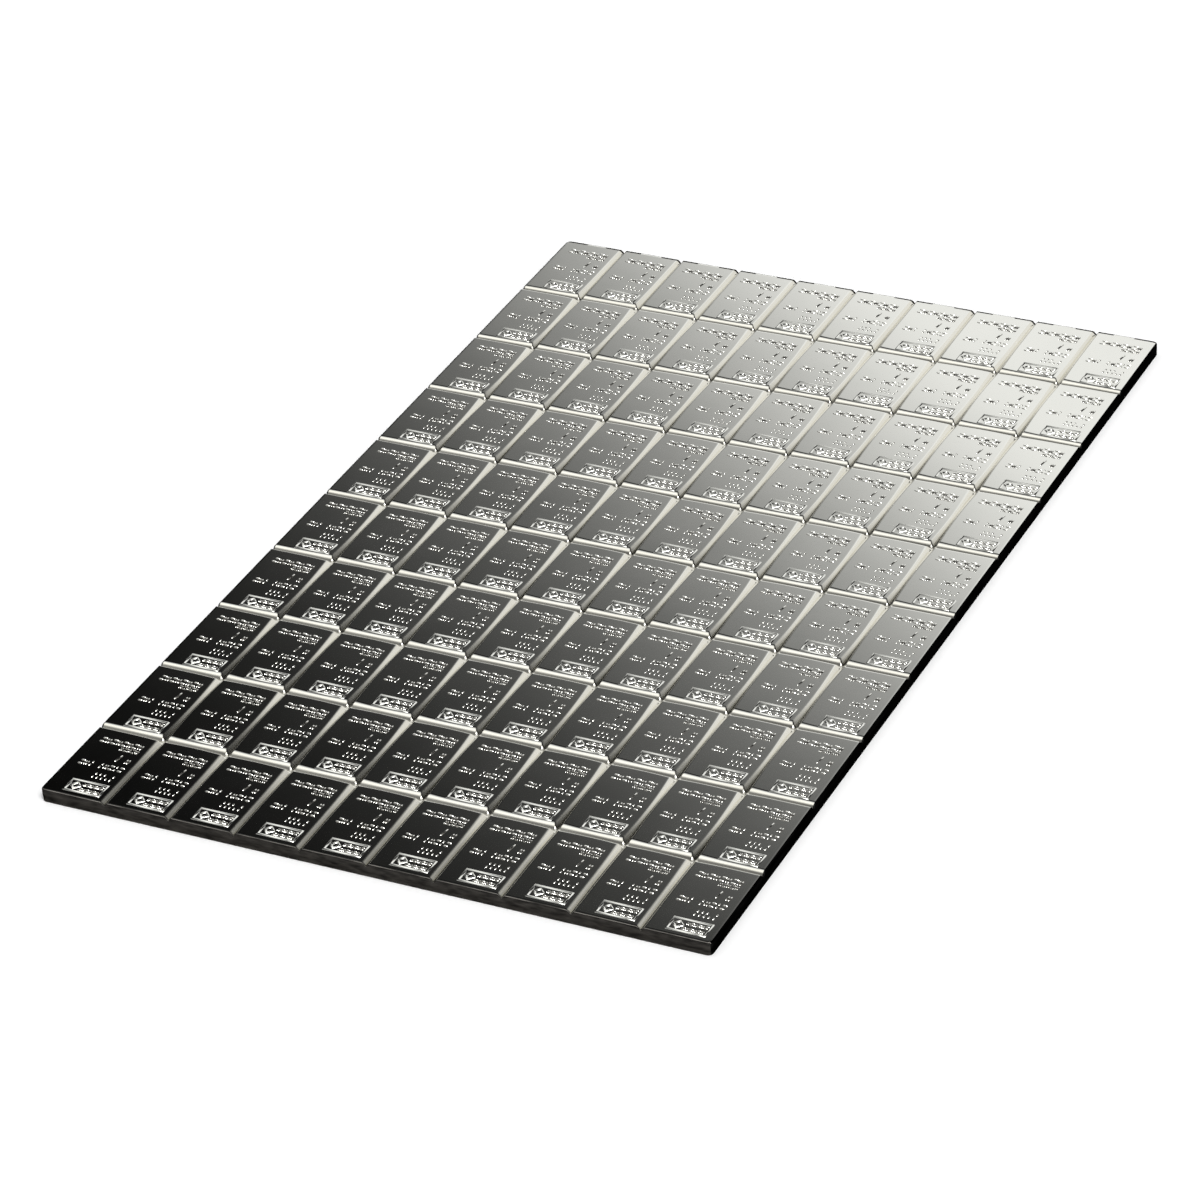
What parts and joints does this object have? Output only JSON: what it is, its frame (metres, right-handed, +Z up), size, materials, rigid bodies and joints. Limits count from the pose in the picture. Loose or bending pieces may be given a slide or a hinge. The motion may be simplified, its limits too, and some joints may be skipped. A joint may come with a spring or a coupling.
{
  "type": "divisible silver bar sheet",
  "caption": "Thin rectangular sheet of fine silver, pressed into a grid of small oblong tiles with break grooves between them, so that single tiles can be snapped off.",
  "frame": {"origin": "centre of the sheet's plain back face, which lies on the floor", "axes": "+Y along the long side towards the tops of the tiles, +X across the sheet, +Z up out of the grooved face"},
  "size_m": [0.066, 0.108, 0.0014],
  "materials": {
    "silver": "polished tile tops, satin break grooves, darker sheared rim"
  },
  "bodies": {
    "root": {"silver_sheet": "silver"}
  },
  "joints": []
}
